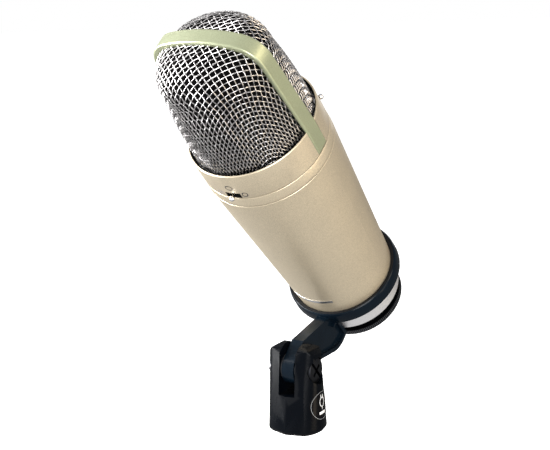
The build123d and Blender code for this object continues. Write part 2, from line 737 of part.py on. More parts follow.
with BuildPart() as xlr_insulator:
    with BuildSketch(MIC.offset(-99.5)):
        Circle(XLR_BORE_RADIUS - 0.03)
        with PolarLocations(XLR_PIN_CIRCLE, 3, start_angle=-90):
            Circle(XLR_PIN_RADIUS + 0.02, mode=Mode.SUBTRACT)
    extrude(amount=3.5)
save(xlr_insulator, "xlr_insulator")

with BuildPart() as xlr_pins:
    with BuildSketch(MIC.offset(-110.4)):
        with PolarLocations(XLR_PIN_CIRCLE, 3, start_angle=-90):
            Circle(XLR_PIN_RADIUS)
    extrude(amount=17.5)
    fillet(xlr_pins.faces().filter_by(MIC).group_by(MIC_AXIS)[0].edges(), 0.9)
save(xlr_pins, "xlr_pins")

turned("clamp_sleeve", [
    (TAIL_CLEARANCE_RADIUS, SLEEVE_BOTTOM),
    (SLEEVE_RADIUS - 0.3, SLEEVE_BOTTOM),
    (SLEEVE_RADIUS, SLEEVE_BOTTOM + 0.3),
    (SLEEVE_RADIUS, SLEEVE_TOP - 0.2),
    (SLEEVE_RADIUS - 0.2, SLEEVE_TOP),
    (TAIL_CLEARANCE_RADIUS, SLEEVE_TOP),
])

with BuildPart() as retaining_nut:
    with BuildSketch(MIC_PROFILE):
        with BuildLine():
            Polyline(
                (STUB_RADIUS + RUNNING, SLEEVE_BOTTOM - GAP),
                (NUT_NECK_RADIUS, SLEEVE_BOTTOM - GAP),
                (NUT_NECK_RADIUS, NUT_FLANGE_TOP),
                (NUT_FLANGE_RADIUS, NUT_FLANGE_TOP - 0.2),
                (NUT_FLANGE_RADIUS, NUT_BOTTOM + 0.3),
                (NUT_FLANGE_RADIUS - 0.3, NUT_BOTTOM),
                (STUB_RADIUS + RUNNING, NUT_BOTTOM),
                close=True,
            )
        make_face()
    revolve(axis=MIC_AXIS)
    with BuildSketch(MIC.offset(NUT_BOTTOM - 1)):
        with PolarLocations(NUT_FLANGE_RADIUS + 0.05, KNURLS):
            Circle(KNURL_RADIUS)
    extrude(amount=NUT_FLANGE_TOP - NUT_BOTTOM + 1.2, mode=Mode.SUBTRACT)
save(retaining_nut, "retaining_nut")
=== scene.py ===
import json
import math

import bmesh
import bpy
from mathutils import Matrix, Vector
from mathutils.bvhtree import BVHTree


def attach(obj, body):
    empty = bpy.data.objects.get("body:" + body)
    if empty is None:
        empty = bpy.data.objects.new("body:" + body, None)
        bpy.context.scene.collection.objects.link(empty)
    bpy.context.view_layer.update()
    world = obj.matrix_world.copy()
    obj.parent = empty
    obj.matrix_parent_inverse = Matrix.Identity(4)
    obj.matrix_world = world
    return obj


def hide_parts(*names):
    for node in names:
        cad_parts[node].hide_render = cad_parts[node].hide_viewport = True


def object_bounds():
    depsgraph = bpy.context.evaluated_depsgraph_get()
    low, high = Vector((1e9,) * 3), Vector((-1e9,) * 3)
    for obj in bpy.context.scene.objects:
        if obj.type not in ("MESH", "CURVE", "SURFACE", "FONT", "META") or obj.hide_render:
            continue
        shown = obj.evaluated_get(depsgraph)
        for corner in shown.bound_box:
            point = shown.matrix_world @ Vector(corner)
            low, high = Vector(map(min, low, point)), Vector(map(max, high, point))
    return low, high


# Studio microphone in a swivel ring adapter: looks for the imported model, in metres.

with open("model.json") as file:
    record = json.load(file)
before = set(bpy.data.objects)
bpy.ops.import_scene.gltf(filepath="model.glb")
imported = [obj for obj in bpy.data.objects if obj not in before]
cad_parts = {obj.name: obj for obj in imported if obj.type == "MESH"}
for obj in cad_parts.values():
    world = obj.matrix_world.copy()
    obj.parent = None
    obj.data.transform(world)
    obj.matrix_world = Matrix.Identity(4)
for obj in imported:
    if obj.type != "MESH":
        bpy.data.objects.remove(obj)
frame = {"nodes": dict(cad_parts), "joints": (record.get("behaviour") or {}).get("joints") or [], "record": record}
cad_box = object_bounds()
nodes = frame["nodes"]
joints = {joint["name"]: joint for joint in frame["joints"]}

# ------------------------------------------------------------------ frames
MM = 0.001
mic_up = Vector(joints["mic_turn"]["axis"])
mic_origin = Vector(joints["mic_turn"]["pos_m"])
mic_side = Vector(joints["pattern_slide"]["axis"])
mic_rear = mic_up.cross(mic_side)
LEAN = math.atan2(-mic_up.y, mic_up.z)


def frame_matrix(origin, x, y, z):
    """Matrix that takes millimetres of a local frame to metres of the row frame."""
    matrix = Matrix((x, y, z)).transposed().to_4x4() * MM
    matrix.translation = origin
    matrix[3][3] = 1.0
    return matrix


MIC = frame_matrix(mic_origin, mic_side, mic_rear, mic_up)
ROW = frame_matrix(Vector(), Vector((1, 0, 0)), Vector((0, 1, 0)), Vector((0, 0, 1)))


# ------------------------------------------------------------------ material helpers
FACTOR_LOW, FACTOR_HIGH = 0.3, 0.7      # most of a noise texture's values lie between
WEAR_START, WEAR_END = 0.52, 0.60       # pointiness where an edge starts to show wear, and is worn


class Shader:
    """A Principled material with the few node chains that the finishes share."""

    def __init__(self, name, colour, roughness, metallic=0.0, **sockets):
        self.material = bpy.data.materials.new(name)
        self.material.use_nodes = True
        self.tree = self.material.node_tree
        self.bsdf = self.tree.nodes["Principled BSDF"]
        self.bsdf.inputs["Base Color"].default_value = (*colour, 1)
        self.bsdf.inputs["Roughness"].default_value = roughness
        self.bsdf.inputs["Metallic"].default_value = metallic
        for socket, value in sockets.items():
            self.bsdf.inputs[socket.replace("_", " ")].default_value = value
        self.coordinates = self.tree.nodes.new("ShaderNodeTexCoord").outputs["Object"]
        self.normal = None

    def link(self, source, target):
        self.tree.links.new(source, target)

    def mapped(self, stretch, turn):
        """Object coordinates, turned about X and then stretched."""
        turning = self.tree.nodes.new("ShaderNodeMapping")
        turning.inputs["Rotation"].default_value = (turn, 0, 0)
        self.link(self.coordinates, turning.inputs["Vector"])
        scaling = self.tree.nodes.new("ShaderNodeMapping")
        scaling.inputs["Scale"].default_value = stretch
        self.link(turning.outputs["Vector"], scaling.inputs["Vector"])
        return scaling.outputs["Vector"]

    def noise(self, grain, detail, vector=None):
        """Noise with features about grain metres across."""
        node = self.tree.nodes.new("ShaderNodeTexNoise")
        node.inputs["Scale"].default_value = 1 / grain
        node.inputs["Detail"].default_value = detail
        self.link(vector or self.coordinates, node.inputs["Vector"])
        return node.outputs["Fac"]

    def cells(self, grain):
        """Cell pattern with cells about grain metres across."""
        node = self.tree.nodes.new("ShaderNodeTexVoronoi")
        node.inputs["Scale"].default_value = 1 / grain
        self.link(self.coordinates, node.inputs["Vector"])
        return node

    def rough(self, factor, low, high):
        """Roughness that goes from low to high with the factor."""
        node = self.tree.nodes.new("ShaderNodeMapRange")
        node.inputs["From Min"].default_value = FACTOR_LOW
        node.inputs["From Max"].default_value = FACTOR_HIGH
        node.inputs["To Min"].default_value = low
        node.inputs["To Max"].default_value = high
        self.link(factor, node.inputs["Value"])
        self.link(node.outputs["Result"], self.bsdf.inputs["Roughness"])

    def colours(self, factor, first, second, start=FACTOR_LOW, end=FACTOR_HIGH):
        """Base colour that goes from the first to the second with the factor."""
        node = self.tree.nodes.new("ShaderNodeValToRGB")
        node.color_ramp.elements[0].position = start
        node.color_ramp.elements[0].color = (*first, 1)
        node.color_ramp.elements[1].position = end
        node.color_ramp.elements[1].color = (*second, 1)
        self.link(factor, node.inputs["Fac"])
        self.link(node.outputs["Color"], self.bsdf.inputs["Base Color"])

    def bump(self, height, strength, depth):
        """Relief of a depth in metres, on top of any earlier relief."""
        node = self.tree.nodes.new("ShaderNodeBump")
        node.inputs["Strength"].default_value = strength
        node.inputs["Distance"].default_value = depth
        self.link(height, node.inputs["Height"])
        if self.normal:
            self.link(self.normal, node.inputs["Normal"])
        self.normal = node.outputs["Normal"]
        self.link(self.normal, self.bsdf.inputs["Normal"])


def metallic_paint(name, colour, spread, metallic, roughness):
    """Fine-flake metallic lacquer: sparkle of single flakes under a thin satin coat."""
    shader = Shader(name, colour, roughness, metallic, Coat_Weight=0.25, Coat_Roughness=0.22)
    flakes = shader.cells(0.16 * MM)
    dark = tuple(c * (1 - spread) for c in colour)
    light = tuple(min(1, c * (1 + spread)) for c in colour)
    shader.colours(flakes.outputs["Color"], dark, light, 0.2, 0.8)
    shader.rough(shader.noise(9 * MM, 3), roughness - 0.03, roughness + 0.04)
    shader.bump(flakes.outputs["Distance"], 0.12, 0.02 * MM)
    shader.bump(shader.noise(1.2 * MM, 2), 0.05, 0.04 * MM)
    return shader.material


def bare_metal(name, colour, roughness, brushed=None, grain=0.05):
    """Bare or plated metal. brushed squeezes its grain along the microphone into fine rings."""
    shader = Shader(name, colour, roughness, 1.0)
    vector = shader.mapped((1, 1, brushed), LEAN) if brushed else None
    lines = shader.noise(1.6 * MM if brushed else 0.35 * MM, 4, vector)
    dark = tuple(c * (1 - grain) for c in colour)
    shader.colours(lines, dark, colour)
    shader.rough(lines, roughness * 0.8, roughness * 1.25)
    shader.bump(lines, 0.08, 0.02 * MM)
    return shader.material


def moulded_plastic(name, colour, roughness, grain=0.22, depth=0.03, lightened=0.0, **sockets):
    """Injection-moulded plastic with a fine texture and slight changes of gloss."""
    shader = Shader(name, colour, roughness, **sockets)
    patches = shader.noise(7 * MM, 4)
    shader.rough(patches, roughness - 0.04, roughness + 0.07)
    shader.bump(shader.noise(grain * MM, 3), 0.35, depth * MM)
    if lightened:
        wear = shader.tree.nodes.new("ShaderNodeNewGeometry").outputs["Pointiness"]
        edge = tuple(c + lightened for c in colour)
        shader.colours(wear, colour, edge, WEAR_START, WEAR_END)
    else:
        shader.colours(patches, tuple(c * 0.85 for c in colour), tuple(c * 1.15 for c in colour))
    return shader.material


def foam():
    """Open-cell acoustic foam, almost black."""
    shader = Shader("black_foam", (0.002, 0.002, 0.002), 0.95, Specular_IOR_Level=0.03)
    cells = shader.cells(0.7 * MM)
    shader.colours(cells.outputs["Distance"], (0.001, 0.001, 0.001), (0.003, 0.003, 0.003))
    shader.bump(cells.outputs["Distance"], 0.8, 0.4 * MM)
    return shader.material


def woven_wire():
    """Bright nickel-plated wire, a little greyer where the plating is thin."""
    shader = Shader("nickel_wire", (0.50, 0.48, 0.48), 0.26, 1.0)
    patches = shader.noise(1.1 * MM, 3)
    shader.colours(patches, (0.36, 0.345, 0.345), (0.70, 0.68, 0.675))
    shader.rough(patches, 0.20, 0.36)
    shader.bump(shader.noise(0.2 * MM, 2), 0.15, 0.02 * MM)
    return shader.material


def gold_film():
    """Gold-sputtered film, drawn tight with faint ripples."""
    shader = Shader("gold_film", (0.95, 0.70, 0.30), 0.18, 1.0)
    ripples = shader.noise(3 * MM, 2)
    shader.colours(ripples, (0.88, 0.62, 0.24), (0.98, 0.76, 0.36))
    shader.bump(ripples, 0.1, 0.05 * MM)
    return shader.material


def board_laminate():
    """Green solder mask with tracks showing through."""
    shader = Shader("board_laminate", (0.02, 0.12, 0.05), 0.3, Coat_Weight=0.4)
    tracks = shader.cells(2.4 * MM)
    shader.colours(tracks.outputs["Distance"], (0.012, 0.09, 0.04), (0.04, 0.20, 0.09))
    shader.bump(tracks.outputs["Distance"], 0.2, 0.04 * MM)
    return shader.material


CHAMPAGNE = (0.54, 0.462, 0.335)
SAGE = (0.345, 0.37, 0.235)
FINISHES = {
    "champagne_paint": metallic_paint("champagne_paint", CHAMPAGNE, 0.16, 0.60, 0.40),
    "sage_paint": metallic_paint("sage_paint", SAGE, 0.10, 0.55, 0.36),
    "nickel_wire": woven_wire(),
    "black_foam": foam(),
    "machined_brass": bare_metal("machined_brass", (0.86, 0.66, 0.32), 0.28, 30),
    "zinc_insert": bare_metal("zinc_insert", (0.62, 0.56, 0.42), 0.36, 20),
    "gold_film": gold_film(),
    "small_screws": bare_metal("small_screws", (0.62, 0.62, 0.64), 0.32),
    "chassis_steel": bare_metal("chassis_steel", (0.60, 0.60, 0.62), 0.38, 25),
    "black_plastic": moulded_plastic(
        "black_plastic", (0.0008, 0.0014, 0.0026), 0.24, lightened=0.004, Specular_IOR_Level=0.06
    ),
    # Painted shade: near black for the dark sheets in the switch windows and round the grille's lip.
    "inner_plastic": moulded_plastic(
        "inner_plastic", (0.003, 0.003, 0.003), 0.6, Specular_IOR_Level=0.1
    ),
    "washer_plastic": moulded_plastic("washer_plastic", (0.03, 0.03, 0.033), 0.45),
    "black_screw": bare_metal("black_screw", (0.02, 0.021, 0.025), 0.34),
    "black_rubber": moulded_plastic(
        "black_rubber", (0.004, 0.004, 0.005), 0.8, 0.5, 0.08, Specular_IOR_Level=0.2
    ),
    "satin_nickel": bare_metal("satin_nickel", (1.0, 0.99, 1.0), 0.42, 60, 0.03),
    "black_metal": bare_metal("black_metal", (0.005, 0.006, 0.009), 0.34, 20),
    "chrome_lever": bare_metal("chrome_lever", (0.86, 0.86, 0.88), 0.08),
    "contact_metal": bare_metal("contact_metal", (0.90, 0.82, 0.62), 0.22),
    "board_laminate": board_laminate(),
    "component_cases": moulded_plastic("component_cases", (0.05, 0.08, 0.28), 0.35),
    "transistor_case": bare_metal("transistor_case", (0.62, 0.62, 0.62), 0.3),
    "transformer_can": moulded_plastic("transformer_can", (0.03, 0.03, 0.035), 0.3),
    "plate_silver": bare_metal("plate_silver", (0.78, 0.78, 0.79), 0.34, 40),
    # Painted highlight: lighter grey metal for the glints on the nut's knurl ridges.
    "painted_highlight_metal": bare_metal("painted_highlight_metal", (0.16, 0.165, 0.18), 0.4),
    "label_black": moulded_plastic(
        "label_black", (0.001, 0.001, 0.0015), 0.2, 0.5, 0.01, Specular_IOR_Level=0.1
    ),
    "ring_gloss": moulded_plastic(
        "ring_gloss", (0.002, 0.005, 0.009), 0.2, 0.6, 0.015, Specular_IOR_Level=0.10
    ),
    "print_grey": moulded_plastic("print_grey", (0.008, 0.010, 0.022), 0.6, Specular_IOR_Level=0.1),
    # Painted highlight: print_faint is a light grey for the two-sided mark, as if washed out by a highlight.
    "print_faint": moulded_plastic("print_faint", (0.22, 0.20, 0.20), 0.6),
    "print_dim": moulded_plastic("print_dim", (0.22, 0.23, 0.24), 0.5),
    "print_white": moulded_plastic("print_white", (0.80, 0.81, 0.82), 0.5),
}

# ------------------------------------------------------------------ piece helpers
CRISP_ANGLE = 32            # degrees; sharper edges stay crisp under smooth shading
WIRE_CRISP_ANGLE = 60
ROUNDED_ANGLE = 30          # degrees; sharper edges are rounded over
FLAT_ANGLE = 0.6            # degrees; flatter creases are only triangulation and go
WELD = 2e-6                 # metres; closer vertices are one
body_of_node = {}
for body, members in frame["record"]["behaviour"]["bodies"].items():
    for member in members:
        body_of_node[member] = body
slot_of_node = {part["node"]: part["material_slot"] for part in frame["record"]["subparts"]}


def finished(piece, finish, body):
    """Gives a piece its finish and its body."""
    piece.data.materials.clear()
    piece.data.materials.append(FINISHES[finish])
    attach(piece, body)
    return piece


def smooth(mesh, angle=CRISP_ANGLE):
    """Smooth shading that keeps edges sharper than the angle crisp."""
    for polygon in mesh.polygons:
        polygon.use_smooth = True
    mesh.set_sharp_from_angle(angle=math.radians(angle))


def object_from(name, bm, matrix=ROW):
    """A piece from a bmesh in millimetres of a local frame."""
    mesh = bpy.data.meshes.new(name)
    bm.to_mesh(mesh)
    bm.free()
    mesh.transform(matrix)
    smooth(mesh)
    piece = bpy.data.objects.new(name, mesh)
    bpy.context.scene.collection.objects.link(piece)
    return piece


def rounded(node, width, segments=3, finish=None):
    """Shows a CAD node as a copy with its edges rounded over width millimetres."""
    bm = bmesh.new()
    bm.from_mesh(nodes[node].data)
    bmesh.ops.remove_doubles(bm, verts=bm.verts, dist=WELD)
    bmesh.ops.dissolve_limit(
        bm,
        angle_limit=math.radians(FLAT_ANGLE),
        verts=bm.verts,
        edges=bm.edges,
        use_dissolve_boundaries=False,
    )
    piece = object_from(node + "_rounded", bm, Matrix.Identity(4))
    bevel = piece.modifiers.new("edges", "BEVEL")
    bevel.width = width * MM
    bevel.segments = segments
    bevel.limit_method = "ANGLE"
    bevel.angle_limit = math.radians(ROUNDED_ANGLE)
    bevel.use_clamp_overlap = True
    bevel.harden_normals = True
    slot = slot_of_node[node]
    finished(piece, finish or slot, body_of_node[node])
    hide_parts(node)


def wires(name, runs, radius, finish, body):
    """Round wires along runs of control points in the microphone's millimetres, as one piece."""
    curve = bpy.data.curves.new(name, "CURVE")
    curve.dimensions = "3D"
    curve.bevel_depth = radius
    curve.bevel_resolution = 1
    curve.resolution_u = 2
    for run in runs:
        spline = curve.splines.new("NURBS")
        spline.points.add(len(run) - 1)
        for point, place in zip(spline.points, run):
            point.co = (*place, 1)
        spline.order_u = 3
        spline.use_endpoint_u = True
    shape = bpy.data.objects.new(name + "_line", curve)
    bpy.context.scene.collection.objects.link(shape)
    bpy.context.view_layer.update()
    evaluated = shape.evaluated_get(bpy.context.evaluated_depsgraph_get())
    mesh = bpy.data.meshes.new_from_object(evaluated)
    bpy.data.objects.remove(shape)
    mesh.transform(MIC)
    smooth(mesh, WIRE_CRISP_ANGLE)
    piece = bpy.data.objects.new(name, mesh)
    bpy.context.scene.collection.objects.link(piece)
    return finished(piece, finish, body)


# ------------------------------------------------------------------ finishes of the CAD nodes
for node, piece in nodes.items():
    piece.data.materials.clear()
    piece.data.materials.append(FINISHES[slot_of_node[node]])
    for polygon in piece.data.polygons:
        polygon.use_smooth = True

# ------------------------------------------------------------------ swivel base
rounded("base_clevis", 0.55)
rounded("pivot_screw", 0.12, 2)
rounded("side_label", 0.03, 1)
rounded("thread_insert", 0.25, 2)

# ------------------------------------------------------------------ adapter
rounded("adapter_arm", 0.35, 3, "ring_gloss")

# ------------------------------------------------------------------ collars and body
rounded("head_collar", 0.16, 3)
rounded("lower_collar", 0.14, 2)
rounded("grille_band", 0.8, 4)
rounded("clamp_sleeve", 0.2, 2)

# ------------------------------------------------------------------ woven head
GRILLE_BASE = 10.5
GRILLE_SHOULDER = 43.0
GRILLE_APEX = 60.1
GRILLE_RADIUS = 26.3
WIDTH_LOSS = 1.9
DEPTH_LOSS = 3.3
DOME_POWER = 2.7            # 2 would be an ellipse; more is squarer
DEPTH_POWER = 2.6           # the basket's depth shrinks late on the way up
WIRE_RADIUS = 0.20
CRIMP = WIRE_RADIUS         # a wire's swing each way, so that the two touch where they cross
CONTROL_SWING = 2 * CRIMP   # a quadratic spline swings half as far as its control points
MESH_INSET = 0.44           # middle surface of the mesh below the basket's outside
MESH_PITCHES = (2.40, 2.05)  # crossing to crossing along the two families of wires, laid flat
DOME_REACH = 22.0           # flat radius of the mesh that the pressing leaves unstretched
STRETCH_BLEND = 8.0         # flat distance over which the stretch sets in
STRETCH = 0.18              # mean lengthening of the mesh down the walls
SHEAR_STRETCH = 0.15        # extra where both wires slant, and as much less between
MESH_REACH = 75.0           # radius of the flat mesh before its edge is trimmed
MESH_LOW = 9.7              # height where it is trimmed, behind the collar's lip
MERIDIAN_STEPS = 400
SLOPE_STEP = 0.02


def half_axes(height):
    """Half width and half depth of the mesh's middle surface below the dome."""
    rise = max(0, min((height - GRILLE_BASE) / (GRILLE_SHOULDER - GRILLE_BASE), 1))
    width = GRILLE_RADIUS - WIDTH_LOSS * rise - MESH_INSET
    depth = GRILLE_RADIUS - DEPTH_LOSS * rise**DEPTH_POWER - MESH_INSET
    return width, depth


def over_basket(point):
    """Negative inside the mesh's middle surface, positive outside it."""
    width, depth = half_axes(point.z)
    climb = max(0, (point.z - GRILLE_SHOULDER) / (GRILLE_APEX - MESH_INSET - GRILLE_SHOULDER))
    return math.hypot(point.x / width, point.y / depth) ** DOME_POWER + climb**DOME_POWER - 1


def slope(point):
    """Gradient of over_basket."""
    steps = [axis * SLOPE_STEP for axis in Matrix.Identity(3)]
    rises = [over_basket(point + step) - over_basket(point - step) for step in steps]
    return Vector([rise / (2 * SLOPE_STEP) for rise in rises])


def meridian():
    """(length from the apex, height, share of the full radius) down a mean meridian."""
    mean_radius = GRILLE_RADIUS - MESH_INSET - (WIDTH_LOSS + DEPTH_LOSS) / 2
    top = GRILLE_APEX - MESH_INSET
    rows = [(0.0, top, 0.0)]
    for k in range(1, MERIDIAN_STEPS + 1):
        turn = math.pi / 2 * (1 - k / MERIDIAN_STEPS)
        climb = math.sin(turn) ** (2 / DOME_POWER)
        share = math.cos(turn) ** (2 / DOME_POWER)
        height = GRILLE_SHOULDER + (top - GRILLE_SHOULDER) * climb
        length, before, narrower = rows[-1]
        length += math.hypot(height - before, (share - narrower) * mean_radius)
        rows.append((length, height, share))
    return rows


MERIDIAN = meridian()


def on_basket(flat):
    """Where a point of the flat mesh comes to lie once it is pressed over the basket."""
    reach = flat.length
    azimuth = math.atan2(flat.x, -flat.y)
    stretch = STRETCH + SHEAR_STRETCH * math.cos(4 * azimuth)
    beyond = reach - DOME_REACH
    length = reach + stretch * (beyond + math.hypot(beyond, STRETCH_BLEND)) / 2
    length -= stretch * (math.hypot(DOME_REACH, STRETCH_BLEND) - DOME_REACH) / 2
    end, height, share = MERIDIAN[-1]
    if length > end:
        height -= length - end
    else:
        k = next(k for k, row in enumerate(MERIDIAN) if row[0] >= length)
        if k:
            (l0, h0, s0), (l1, h1, s1) = MERIDIAN[k - 1 : k + 1]
            part = (length - l0) / (l1 - l0)
            height, share = h0 + (h1 - h0) * part, s0 + (s1 - s0) * part
        else:
            height, share = MERIDIAN[0][1:]
    width, depth = half_axes(height)
    return Vector((width * share * math.sin(azimuth), -depth * share * math.cos(azimuth), height))


def woven_crossings():
    """Where a flat mesh crosses itself once pressed on, its wires at 45 degrees to the band."""
    grid = {}
    first, second = Vector((1, 1)).normalized(), Vector((-1, 1)).normalized()
    count = int(MESH_REACH / min(MESH_PITCHES))
    for i in range(-count, count + 1):
        for j in range(-count, count + 1):
            flat = first * MESH_PITCHES[0] * (i + 0.5) + second * MESH_PITCHES[1] * (j + 0.5)
            if flat.length < MESH_REACH:
                grid[i, j] = on_basket(flat)
    return grid, count


def clipped(run):
    """A run of crossings without those that lie down behind the collar's lip."""
    return [point for point in run if point.z > MESH_LOW]


def woven_basket():
    """The woven basket: two families of wires passing over and under each other."""
    grid, reach = woven_crossings()

    def bent(i, j, family):
        point = grid[i, j]
        side = family if (i + j) % 2 else -family
        return point + slope(point).normalized() * side * CONTROL_SWING

    span = range(-reach, reach + 1)
    runs = [[bent(i, j, 1) for j in span if (i, j) in grid] for i in span]
    runs += [[bent(i, j, -1) for i in span if (i, j) in grid] for j in span]
    runs = [run for run in map(clipped, runs) if len(run) > 2]
    piece = wires("woven_basket", runs, WIRE_RADIUS, "nickel_wire", "microphone")
    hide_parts("front_grille", "rear_grille")


woven_basket()

# ------------------------------------------------------------------ printed marks
COLLAR_RADIUS = 28.0
SWITCH_HEIGHT = 1.7
REAR_SWITCHES = (149, 211)  # degrees round the collar from the front
PRINT_PROUD = 0.015
PATTERN_LINE = 0.36
TWO_SIDED_LINE = 0.28
REAR_LINE = 0.3
REAR_MARK_OUT = 4.0         # from the switch's middle to a mark's middle
REAR_MARK_HALF = 0.8
ALL_ROUND_PLACE = (0, 6.3)  # degrees round the collar, height
ONE_SIDED_PLACE = (11.4, 2.4)
TWO_SIDED_PLACE = (-12.4, 2.3)


def on_collar(azimuth, height):
    """A function that puts a print's (across, up) on the collar, round an azimuth and height."""

    def place(across, up):
        turn = math.radians(azimuth) + across / COLLAR_RADIUS
        radius = COLLAR_RADIUS + PRINT_PROUD
        return Vector((radius * math.sin(turn), -radius * math.cos(turn), height + up))

    return place


def stroke(bm, points, width, place, closed=True):
    """A printed line of a given width along flat points."""
    count = len(points)
    pairs = []
    for k, point in enumerate(points):
        ahead = points[(k + 1) % count] if closed or k < count - 1 else point
        behind = points[k - 1] if closed or k else point
        along = (Vector(ahead) - Vector(behind)).normalized()
        offset = Vector((-along.y, along.x)) * width / 2
        inner, outer = Vector(point) - offset, Vector(point) + offset
        pairs.append((bm.verts.new(place(*inner)), bm.verts.new(place(*outer))))
    for k in range(count if closed else count - 1):
        a, b = pairs[k], pairs[(k + 1) % count]
        bm.faces.new((a[0], b[0], b[1], a[1]))


def ellipse(half_width, half_height, count=40, centre=(0, 0)):
    """Points round an ellipse."""
    turns = [math.tau * k / count for k in range(count)]
    across = [centre[0] + half_width * math.cos(turn) for turn in turns]
    up = [centre[1] + half_height * math.sin(turn) for turn in turns]
    return list(zip(across, up))


def pattern_marks():
    """Pick-up pattern marks round the front switch: all-round, one-sided and two-sided; the two-sided one is
    printed light grey, a painted highlight washing it out.
    """
    bm = bmesh.new()
    stroke(bm, ellipse(1.6, 1.15), PATTERN_LINE, on_collar(*ALL_ROUND_PLACE))
    stroke(bm, ellipse(1.15, 1.1), PATTERN_LINE, on_collar(*ONE_SIDED_PLACE))
    finished(object_from("pattern_marks", bm, MIC), "print_grey", "microphone")
    # Painted highlight: the two-sided mark gets the light grey print, as if a highlight washes it out.
    lightened = bmesh.new()
    for side in (-0.75, 0.75):
        loop = ellipse(0.72, 0.8, 28, (side, 0))
        stroke(lightened, loop, TWO_SIDED_LINE, on_collar(*TWO_SIDED_PLACE))
    finished(object_from("highlight_washed_mark", lightened, MIC), "print_faint", "microphone")


def rear_marks():
    """A bar at one end of each rear switch and a plus at the other."""
    bm = bmesh.new()
    for azimuth in REAR_SWITCHES:
        place = on_collar(azimuth, SWITCH_HEIGHT)
        for across in (-REAR_MARK_OUT, REAR_MARK_OUT):
            upright = [(across, -REAR_MARK_HALF), (across, REAR_MARK_HALF)]
            stroke(bm, upright, REAR_LINE, place, False)
        level_bar = [(REAR_MARK_OUT - REAR_MARK_HALF, 0), (REAR_MARK_OUT + REAR_MARK_HALF, 0)]
        stroke(bm, level_bar, REAR_LINE, place, False)
    finished(object_from("rear_marks", bm, MIC), "print_grey", "microphone")


pattern_marks()
rear_marks()

label_mesh = nodes["side_label"].data
label_heights = [vertex.co.z / MM for vertex in label_mesh.vertices]
LABEL_HEIGHT = (min(label_heights) + max(label_heights)) / 2
label_face = BVHTree.FromPolygons(
    [vertex.co for vertex in label_mesh.vertices],
    [polygon.vertices[:] for polygon in label_mesh.polygons],
)
RAY_START = 0.03            # metres along the pivot, clear of the base
LABEL_PROUD = 0.02
OUTLINE_RADIUS = 6.1
OUTLINE_LINE = 0.16
PLUG_LINE = 0.3
PRONG_LINE = 0.36
BAR_HEIGHT = 1.2
BAR_HALF, BAR_STEPS = 2.1, 14
BAR_UP = -3.3


def on_label(across, up):
    """Drops a flat mark onto the label's face, straight along the pivot's direction."""
    start = Vector((RAY_START, across * MM, (LABEL_HEIGHT + up) * MM))
    place = label_face.ray_cast(start, Vector((-1, 0, 0)))[0]
    return Vector((place.x / MM + LABEL_PROUD, across, LABEL_HEIGHT + up))


def label_marks():
    """A thin dim outline, a plain plug pictogram and a blank bar."""
    outline = bmesh.new()
    stroke(outline, ellipse(OUTLINE_RADIUS, OUTLINE_RADIUS, 72), OUTLINE_LINE, on_label)
    finished(object_from("label_outline", outline), "print_dim", "base")
    bm = bmesh.new()
    stroke(bm, ellipse(1.6, 2.0, 32, (0, 1.5)), PLUG_LINE, on_label)
    for across, start, end in ((-0.7, 3.3, 4.8), (0.7, 3.3, 4.8), (0, -0.5, -1.9)):
        stroke(bm, [(across, start), (across, end)], PRONG_LINE, on_label, False)
    places = [BAR_HALF * (2 * k / BAR_STEPS - 1) for k in range(BAR_STEPS + 1)]
    stroke(bm, [(across, BAR_UP) for across in places], BAR_HEIGHT, on_label, False)
    finished(object_from("label_marks", bm), "print_white", "base")


label_marks()

# ------------------------------------------------------------------ painted shade: dark sheets in the switch windows and round the grille
# Window lengths, by degrees round the collar from the front.
WINDOW_LENGTHS = {0: 7.2} | {azimuth: 5.0 for azimuth in REAR_SWITCHES}
WINDOW_HEIGHT = 3.0
REVEAL_START, REVEAL_END = 0.12, 2.6    # depth of a window's painted shade below the collar's outside
SHADE_SHEET = 0.06
SHADE_SHEET_GAP = 0.002


def window_painted_shade():
    """Painted shade: a dark sheet inside each switch window, as thin as paint, where the recess falls into shade.
    """
    bm = bmesh.new()
    for azimuth, length in WINDOW_LENGTHS.items():
        turn = math.radians(azimuth)
        outward = Vector((math.sin(turn), -math.cos(turn), 0))
        along = Vector((math.cos(turn), math.sin(turn), 0))
        half, rise = length / 2, WINDOW_HEIGHT / 2
        corners = [(-half, -rise), (half, -rise), (half, rise), (-half, rise)]

        def corner(across, up, inset, depth):
            across -= math.copysign(inset, across)
            up -= math.copysign(inset, up)
            reach = math.sqrt((COLLAR_RADIUS - depth) ** 2 - across**2)
            place = outward * reach + along * across
            return bm.verts.new(place + Vector((0, 0, SWITCH_HEIGHT + up)))

        section = (
            (SHADE_SHEET_GAP, REVEAL_START),
            (SHADE_SHEET_GAP, REVEAL_END),
            (SHADE_SHEET, REVEAL_END),
            (SHADE_SHEET, REVEAL_START),
        )
        loops = [[corner(*c, inset, depth) for c in corners] for inset, depth in section]
        for k, loop in enumerate(loops):
            following = loops[(k + 1) % 4]
            for m in range(4):
                bm.faces.new((loop[m], loop[(m + 1) % 4], following[(m + 1) % 4], following[m]))
    bmesh.ops.recalc_face_normals(bm, faces=bm.faces)
    finished(object_from("window_painted_shade", bm, MIC), "inner_plastic", "microphone")


window_painted_shade()

COLLAR_TOP = 13.3
LIP_DEPTH = 1.3             # depth of the lip's slope round the grille
SHADE_LOW = 10.7
BAND_GAP = 9.5              # degrees left clear either side of each of the band's legs
LIP_STEPS = 64


